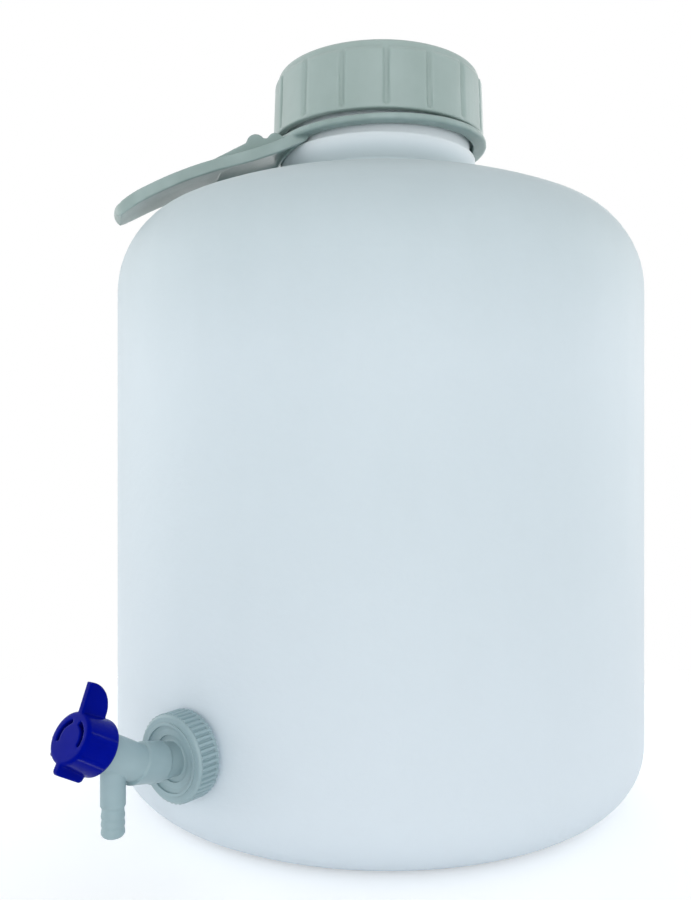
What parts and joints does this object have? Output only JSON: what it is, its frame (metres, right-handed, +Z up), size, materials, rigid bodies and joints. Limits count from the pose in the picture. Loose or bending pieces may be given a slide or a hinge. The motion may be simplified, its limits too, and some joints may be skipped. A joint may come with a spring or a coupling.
{
  "type": "carboy with spigot",
  "caption": "Round wide-neck plastic carboy with a screw cap, a carrying handle hung round its neck and a quarter-turn dispensing tap near the base.",
  "frame": {"origin": "on the bottle's axis, in the plane of the ring it stands on", "axes": "+Z up along the bottle's axis; the tap points along -Y; the handle's grip lies towards -X and -Y"},
  "size_m": [0.234, 0.2913, 0.3197],
  "materials": {
    "bottle_plastic": "translucent, slightly waxy",
    "cap_plastic": "satin, slightly translucent",
    "handle_plastic": "satin, slightly translucent",
    "tap_plastic": "satin, slightly translucent",
    "key_plastic": "semi-gloss, opaque",
    "seal": "soft, matt"
  },
  "bodies": {
    "bottle": {"bottle": "bottle_plastic", "neck": "bottle_plastic", "union_nut": "tap_plastic", "tap_washer": "seal", "tap_body": "tap_plastic"},
    "cap_seal": {"cap_liner": "seal"},
    "cap": {"cap": "cap_plastic"},
    "handle": {"handle": "handle_plastic"},
    "key": {"tap_key": "key_plastic"}
  },
  "joints": [
    {"name": "cap_lift", "type": "slide", "parent": "bottle", "child": "cap_seal", "axis": [0, 0, 1], "range_m": [0, 0.0091]},
    {"name": "cap_turn", "type": "hinge", "parent": "cap_seal", "child": "cap", "pos_m": [0, 0, 0.3], "axis": [0, 0, 1], "range_deg": [0, 540]},
    {"name": "handle_swivel", "type": "hinge", "parent": "bottle", "child": "handle", "pos_m": [0, 0, 0.2867], "axis": [0, 0, 1], "continuous": true},
    {"name": "key_turn", "type": "hinge", "parent": "bottle", "child": "key", "pos_m": [0, -0.1423, 0.044], "axis": [0, -0.866, 0.5], "range_deg": [0, 90]}
  ],
  "couplings": [
    {"joint": "cap_lift", "follows": "cap_turn", "m_per_rad": 0.00095493}
  ]
}
